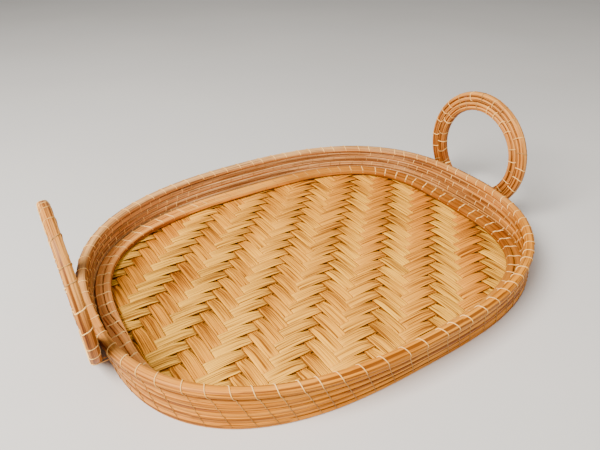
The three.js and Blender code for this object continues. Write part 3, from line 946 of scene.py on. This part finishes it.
def weave_strips(name, weave, plan, lengthwise, grass):
    """Weaves all strips of one direction into one piece."""
    chance = random.Random(SEEDS[name])
    half = plan.foot_width if lengthwise else plan.foot_length
    shift = weave.start[1] if lengthwise else weave.start[0]
    low = math.ceil((-half - shift) / weave.pitch) - 1
    high = math.floor((half - shift) / weave.pitch) + 1
    bm = new_mesh()
    for row in range(low, high + 1):
        strip = Strip(weave, plan, lengthwise, row, chance)
        if strip.on_mat:
            length = (strip.last - strip.first) * weave.pitch
            lay_grid(bm, len(strip.stations) - 1, strip.rows, strip.surface, length, weave.pitch)
    weld(bm, STRIP_WELD)
    bm.normal_update()
    bmesh.ops.reverse_faces(bm, faces=[face for face in bm.faces if face.normal.z < 0])
    piece = finish_piece(bm, name, grass, ["woven_mat"])
    solid = piece.modifiers.new("Thickness", "SOLIDIFY")
    solid.thickness = weave.thickness
    solid.offset = -1


class TRAY_OT_weave_floor(bpy.types.Operator):
    """Weave the floor mat of lengthwise and crosswise strips"""

    bl_idname = "grass_tray.weave_floor"
    bl_label = "Weave Floor"

    def execute(self, context):
        settings = context.scene.grass_tray
        weave, colours = settings.weave, settings.colours
        plan = TrayPlan(settings.sizes)
        # The strips' colours shift across the tray: painted sheen of the fibres over their own colour
        long_tones = (colours.long_left, colours.long_right)
        cross_tones = (colours.cross_back, colours.cross_middle, colours.cross_right)
        long_grass = grass_material("Lengthwise strip grass", long_tones, ALONG, LONG_FINISH)
        cross_grass = grass_material("Crosswise strip grass", cross_tones, ASLANT, CROSS_FINISH)
        weave_strips("floor_strips_lengthwise", weave, plan, True, long_grass)
        weave_strips("floor_strips_crosswise", weave, plan, False, cross_grass)
        return {"FINISHED"}


class TRAY_OT_wind_coils(bpy.types.Operator):
    """Wind the border over the cut ends of the strips, the wall up from the mat and the rim on top"""

    bl_idname = "grass_tray.wind_coils"
    bl_label = "Wind Coils"

    def execute(self, context):
        settings = context.scene.grass_tray
        sizes, colours = settings.sizes, settings.colours
        plan = TrayPlan(sizes)
        border_tones = (colours.border_left, colours.border_middle, colours.border_right)
        wall_tones = (colours.coil_front, colours.coil_ends, colours.coil_back)
        rim_tones = [tuple(part * colours.rim_shade for part in tone) for tone in wall_tones]
        for coil, winding, tones, axis, stems, step in (
                ("border", border_winding, border_tones, ALONG, STEMS, BUNDLE_STEP),
                ("wall", wall_winding, wall_tones, FRONT_TO_BACK, STEMS, WALL_STEP),
                ("rim", rim_winding, rim_tones, FRONT_TO_BACK, RIM_STEMS, BUNDLE_STEP)):
            straw = grass_material(f"{coil.title()} straw", tones, axis, COIL_FINISH)
            roll_bundle(
                f"{coil}_bundle", f"{coil}_coil", straw, winding(sizes, plan),
                plan.perimeter, stems, step)
        return {"FINISHED"}


class TRAY_OT_wind_handles(bpy.types.Operator):
    """Wind the two handle rings"""

    bl_idname = "grass_tray.wind_handles"
    bl_label = "Wind Handles"

    def execute(self, context):
        settings = context.scene.grass_tray
        sizes, colours = settings.sizes, settings.colours
        # The rings go from their own orange-brown to paler towards the top: painted light from above
        tones = (colours.handle, colours.handle, colours.handle_lit_top)
        straw = grass_material("Handle straw", tones, BOTTOM_TO_TOP, HANDLE_FINISH)
        length = 2 * math.pi * sizes.handle_radius
        for end, side in ENDS:
            winding = ring_winding(sizes, side)
            node = f"{end}_handle_ring"
            roll_bundle(f"{end}_ring_bundle", node, straw, winding, length)
        return {"FINISHED"}


def sew(name, settings, paths, broad=1.0, sides=CORD_SIDES, nodes=()):
    """Makes one piece of the stitches along the paths."""
    stitches = settings.stitches
    tones = (settings.colours.stitch, settings.colours.stitch)
    grass = bpy.data.materials.get("Sewing grass")
    if not grass:
        grass = grass_material("Sewing grass", tones, ALONG, SEWING_FINISH)
    bm = new_mesh()
    for path in paths:
        lay_cord(bm, path, stitches.width * broad, stitches.thickness, sides)
    close_tubes(bm)
    finish_piece(bm, name, grass, nodes)


def lashing_paths(sizes, stitches, side):
    """From the ring's hole over its outer face and back to the wall under the ring"""
    _, rim_height = wall_rows(sizes)
    pitch = sizes.handle_bundle_width + sizes.turn_gap
    height = sizes.handle_lift + sizes.handle_radius
    hole = sizes.handle_radius - sizes.handle_turns * pitch + sizes.turn_gap
    crossing = math.acos((height - rim_height) / hole)
    proud = stitches.thickness / 2
    near, far = hole - proud, sizes.handle_radius + proud
    inner = sizes.handle_inner_face
    outer = inner + sizes.handle_thickness + proud
    rounding = sizes.handle_thickness / 2
    outward = Vector((side, 0, 0))
    for share in stitches.lashing_shares:
        across = Vector((0, math.sin(share * crossing), -math.cos(share * crossing)))
        legs = [(near, inner - LASHING_LEG, -across), (near, inner + LASHING_LEG, -across)]
        for edge, way in ((near, -1), (far, 1)):
            for part in parts(BEND_STEPS)[::-way]:
                sine, cosine = math.sin(math.pi / 2 * part), math.cos(math.pi / 2 * part)
                radius = edge - way * LASHING_CORNER * (1 - cosine)
                legs.append((radius, outer - rounding * (1 - sine), outward * sine + across * cosine * way))
        legs += [(far, inner + LASHING_LEG, across), (far, inner - LASHING_TAIL, across)]
        yield [
            (UPRIGHT * height + across * radius + outward * reach, normal, 1.0, LASHING_TONE)
            for radius, reach, normal in legs]


class TRAY_OT_lash_handles(bpy.types.Operator):
    """Lash the lower part of each ring to the wall"""

    bl_idname = "grass_tray.lash_handles"
    bl_label = "Lash Handles"

    def execute(self, context):
        settings = context.scene.grass_tray
        stitches = settings.stitches
        for end, side in ENDS:
            paths = lashing_paths(settings.sizes, stitches, side)
            nodes = [f"{end}_handle_lashing_{spot + 1}" for spot in range(len(stitches.lashing_shares))]
            sew(f"{end}_lashings", settings, paths, broad=LASHING_BREADTH, nodes=nodes)
        return {"FINISHED"}


def rim_stitch_shares(stitches, chance):
    """Shares of the rim's length: from the table along the front, and with growing steps from there"""
    shares = list(FRONT_STITCH_SHARES)
    others = stitches.rim_count - len(shares)
    span = 1 - shares[-1] + shares[0]
    for other in range(others):
        part = (other + 1 + chance.uniform(-0.12, 0.12)) / (others + 1)
        part *= 1 - stitches.rim_spread * (1 - part)
        shares.append(FRONT_STITCH_SHARES[-1] + span * part)
    return shares


def over_rim(rim, stitches, share, advance):
    """From the rim's inside, where a stitch is bright and broad, to its outside"""
    path = []
    for part in parts(OVER_RIM_STEPS):
        angle = math.radians(mix(*RIM_ANGLES, part))
        turn = (share + advance * OVER_RIM_ADVANCE * part - rim.ramp / 2) % 1
        point = rim.surface(turn, angle, 1.0, stitches.thickness * PROUD)
        breadth, tone = mix(*OVER_RIM_BREADTHS, part), mix(*OVER_RIM_TONES, part)
        path.append((point, rim.normal(turn, angle), breadth, tone))
    return path


def down_wall(plan, sizes, stitches, share, advance):
    """On down the wall to its foot, aslant, thinner and duller"""
    rows, _ = wall_rows(sizes)
    pitch = sizes.wall_thickness + sizes.turn_gap
    top = rows[-1][1] + sizes.wall_thickness * ABOVE_TOP_ROW
    foot = rows[0][1] - sizes.wall_thickness * BELOW_LOWEST_ROW
    start, _, _, _ = plan.at(share)
    clear = mix(*RIM_CLEARNESS, smooth_share((start.x - RIM_FAINT) / RIM_CLEARING))
    path = []
    for part in parts(STEPS_PER_ROW * len(rows)):
        z = mix(top, foot, part)
        origin, out, _, inset = plan.at(share + advance * mix(*DOWN_WALL_ADVANCE, part))
        lean = mix(rows[-1][2], rows[0][2], (rows[-1][1] - z) / (rows[-1][1] - rows[0][1]))
        dip = (1 - math.cos(2 * math.pi * (z - rows[0][1]) / pitch)) / 2
        face = sizes.wall_thickness / 2 + stitches.thickness * PROUD - stitches.sink * dip
        point = origin + out * (face - lean * inset) + UPRIGHT * z
        path.append((point, out, mix(*DOWN_WALL_BREADTHS, part) * clear, mix(*DOWN_WALL_TONES, part)))
    return path


def rim_paths(sizes, stitches, chance):
    """Over the rim and down the outside of the wall"""
    plan = TrayPlan(sizes)
    rim = rim_winding(sizes, plan)
    for share in rim_stitch_shares(stitches, chance):
        advance = stitches.rim_advance * chance.uniform(0.9, 1.1) / plan.perimeter
        path = over_rim(rim, stitches, share, advance)
        yield path + down_wall(plan, sizes, stitches, share, advance)


def wall_paths(sizes, stitches, chance):
    """Over the inner side of one row, shorter and narrower where a stitch hardly shows"""
    plan = TrayPlan(sizes)
    wall = wall_winding(sizes, plan)
    for row in range(1, sizes.wall_turns):
        for stitch in range(stitches.wall_count):
            turn = row + (stitch - ROW_SHIFT * row + chance.uniform(-0.12, 0.12)) / stitches.wall_count
            away = abs(wall.guide(turn)[0].x - WALL_FAINT) / plan.length
            shown = smooth_share(away * 1.6 - 0.3)
            slant = chance.uniform(0.5, 1.5) * stitches.wall_advance / plan.perimeter
            tone = shown * chance.uniform(0.3, 0.9)
            path = []
            for part in parts(WALL_STITCH_STEPS):
                angle = math.radians(mix(WALL_OUT_ANGLE, mix(*WALL_IN_ANGLES, shown), part))
                there = turn + slant * (part - 0.5)
                point = wall.surface(there, angle, 1.0, stitches.thickness * LITTLE_PROUD)
                path.append((point, wall.normal(there, angle), mix(*WALL_BREADTHS, shown), tone))
            yield path


def border_paths(sizes, stitches, chance):
    """Over all turns of the border, dipping between them and going down at both ends"""
    plan = TrayPlan(sizes)
    pitch = sizes.border_thickness + sizes.turn_gap
    first = sizes.wall_thickness / 2 + sizes.seat_gap + sizes.border_thickness / 2
    middle = first + (sizes.border_turns - 1) * pitch / 2
    top = sizes.border_base + sizes.border_thickness + stitches.thickness * PROUD
    for stitch in range(stitches.border_count):
        share = (stitch + chance.uniform(-0.1, 0.1)) / stitches.border_count
        slant = chance.uniform(0.6, 1.4) * stitches.border_advance / plan.perimeter
        away = abs(plan.at(share)[0].x - BORDER_FAINT) / plan.length
        shown = smooth_share(away * 1.4 - 0.2)
        tone = chance.uniform(0.2, 0.4) + 0.5 * shown
        path = []
        for part in parts(BORDER_STITCH_STEPS):
            side = 2 * part - 1
            inset = middle + sizes.border_turns * pitch / 2 * side
            origin, out, up, foot = plan.at(share - slant * part)
            dip = (1 - math.cos(2 * math.pi * (inset - first) / pitch)) / 2
            ending = side ** FALL_POWER
            fall = sizes.border_thickness * (INNER_FALL if side > 0 else OUTER_FALL) * ending
            z = top - stitches.sink * dip * (1 - ending) - fall
            path.append((origin - out * (foot + inset) + up * z, up, mix(*BORDER_BREADTHS, shown), tone))
        yield path


class TRAY_OT_sew_coils(bpy.types.Operator):
    """Sew over the rim, between the rows of the wall and across the border"""

    bl_idname = "grass_tray.sew_coils"
    bl_label = "Sew Coils"

    def execute(self, context):
        settings = context.scene.grass_tray
        for coil, paths in (("rim", rim_paths), ("wall", wall_paths), ("border", border_paths)):
            name = f"{coil}_stitches"
            sew(name, settings, paths(settings.sizes, settings.stitches, random.Random(SEEDS[name])))
        return {"FINISHED"}


def ring_paths(sizes, stitches, chance, side):
    """Round two neighbouring turns, the outer two in one band and the inner two in the other"""
    winding = ring_winding(sizes, side)
    pitch = sizes.handle_bundle_width + sizes.turn_gap
    lift = stitches.thickness * LITTLE_PROUD
    for band in range(2):
        outer = sizes.handle_radius - band * 2 * pitch
        inner = outer - 2 * pitch + sizes.turn_gap
        for stitch in range(stitches.ring_count):
            turn = (stitch + 0.5 * band + chance.uniform(-0.25, 0.25)) / stitches.ring_count
            slant = chance.uniform(-0.4, 1.8) * stitches.ring_advance / (2 * math.pi * outer)
            tone = chance.uniform(0.1, 0.9)
            path = []
            for part in parts(RING_STITCH_STEPS):
                angle = math.pi * (2 * part + 0.05)
                centre, out, up, _ = winding.guide(turn + slant * math.sin(angle))
                on_edge = math.cos(angle) > 0 if band == 0 else math.cos(angle) < 0
                power = STITCH_EDGE_POWER if on_edge else STITCH_POWER
                radial = squared(math.cos(angle), power) * ((outer - inner) / 2 + lift)
                axial = squared(math.sin(angle), power) * (sizes.handle_thickness / 2 + lift)
                point = centre + out * ((outer + inner) / 2 + radial) + up * axial
                path.append((point, out * math.cos(angle) + up * math.sin(angle), RING_BREADTH, tone))
            yield path


class TRAY_OT_sew_handles(bpy.types.Operator):
    """Sew the turns of the handle rings together"""

    bl_idname = "grass_tray.sew_handles"
    bl_label = "Sew Handles"

    def execute(self, context):
        settings = context.scene.grass_tray
        for end, side in ENDS:
            name = f"{end}_ring_stitches"
            chance = random.Random(SEEDS[name])
            paths = ring_paths(settings.sizes, settings.stitches, chance, side)
            sew(name, settings, paths, sides=RING_CORD_SIDES)
        return {"FINISHED"}


def lay_floor(pale):
    bm = bmesh.new()
    bmesh.ops.create_grid(bm, x_segments=4, y_segments=4, size=FLOOR_REACH)
    shader = Shader("Studio floor")
    cloud = shader.noise(shader.place, FLOOR_STAINS, 3.0)
    dull = tuple(part * 0.96 for part in pale)
    shader.fill(shader.surface, Base_Color=shader.ramp(cloud, (0.35, dull), (0.65, pale)), Roughness=0.85)
    floor = add_object(bm, "studio_floor", shader.material)
    floor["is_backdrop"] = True


def hang_light(name, hung, size, power, tint):
    light = bpy.data.lights.new(name, "AREA")
    light.energy = power
    light.size = size
    light.color = tint
    lamp = bpy.data.objects.new(name, light)
    lamp.location = hung
    lamp.rotation_euler = (-Vector(hung)).to_track_quat("-Z", "Y").to_euler()
    bpy.context.scene.collection.objects.link(lamp)


def place_camera(studio):
    camera = bpy.data.cameras.new("Studio camera")
    camera.sensor_fit = "HORIZONTAL"
    camera.sensor_width = SENSOR_MILLIMETRES
    camera.lens = studio.lens
    camera.clip_start = NEAR_CLIP
    stand = bpy.data.objects.new("Studio camera", camera)
    turned = Matrix.Rotation(studio.camera_turn, 4, "Z")
    tilted = Matrix.Rotation(math.pi / 2 - studio.camera_tilt, 4, "X")
    rolled = Matrix.Rotation(studio.camera_roll, 4, "Z")
    stand.matrix_world = Matrix.Translation(studio.camera_place) @ turned @ tilted @ rolled
    bpy.context.scene.collection.objects.link(stand)
    bpy.context.scene.camera = stand


class TRAY_OT_set_stage(bpy.types.Operator):
    """Set the pale floor, the soft lights and the camera"""

    bl_idname = "grass_tray.set_stage"
    bl_label = "Set Stage"

    def execute(self, context):
        settings = context.scene.grass_tray
        studio = settings.studio
        lay_floor(settings.colours.floor)
        hang_light("Key light", KEY_PLACE, KEY_SIZE, studio.key_power, KEY_TINT)
        hang_light("Fill light", FILL_PLACE, FILL_SIZE, studio.fill_power, FILL_TINT)
        world = bpy.data.worlds.new("Studio sky")
        world.use_nodes = True
        background = world.node_tree.nodes["Background"]
        background.inputs["Color"].default_value = (*SKY_TINT, 1.0)
        background.inputs["Strength"].default_value = studio.sky
        context.scene.world = world
        place_camera(studio)
        return {"FINISHED"}


STEPS = (
    TRAY_OT_weave_floor, TRAY_OT_wind_coils, TRAY_OT_wind_handles, TRAY_OT_lash_handles,
    TRAY_OT_sew_coils, TRAY_OT_sew_handles, TRAY_OT_set_stage)


class TRAY_PT_steps(bpy.types.Panel):
    """The steps of the tray in their order"""

    bl_idname = "TRAY_PT_steps"
    bl_label = "Grass Tray"
    bl_space_type = "VIEW_3D"
    bl_region_type = "UI"
    bl_category = "Grass Tray"

    def draw(self, context):
        for step in STEPS:
            self.layout.operator(step.bl_idname)


CLASSES = (
    TraySizes, WeaveSizes, StitchSizes, TrayColours, StudioSettings, TraySettings, *STEPS, TRAY_PT_steps)


def register():
    for cls in CLASSES:
        bpy.utils.register_class(cls)
    bpy.types.Scene.grass_tray = PointerProperty(type=TraySettings)


def unregister():
    del bpy.types.Scene.grass_tray
    for cls in reversed(CLASSES):
        bpy.utils.unregister_class(cls)


def main():
    register()
    for step in STEPS:
        group, name = step.bl_idname.split(".")
        getattr(getattr(bpy.ops, group), name)()
    boxes = {"cad": CAD_BOX, "visual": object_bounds()}
    {name: [list(corner) for corner in box] for name, box in boxes.items()}


if __name__ == "__main__":
    main()
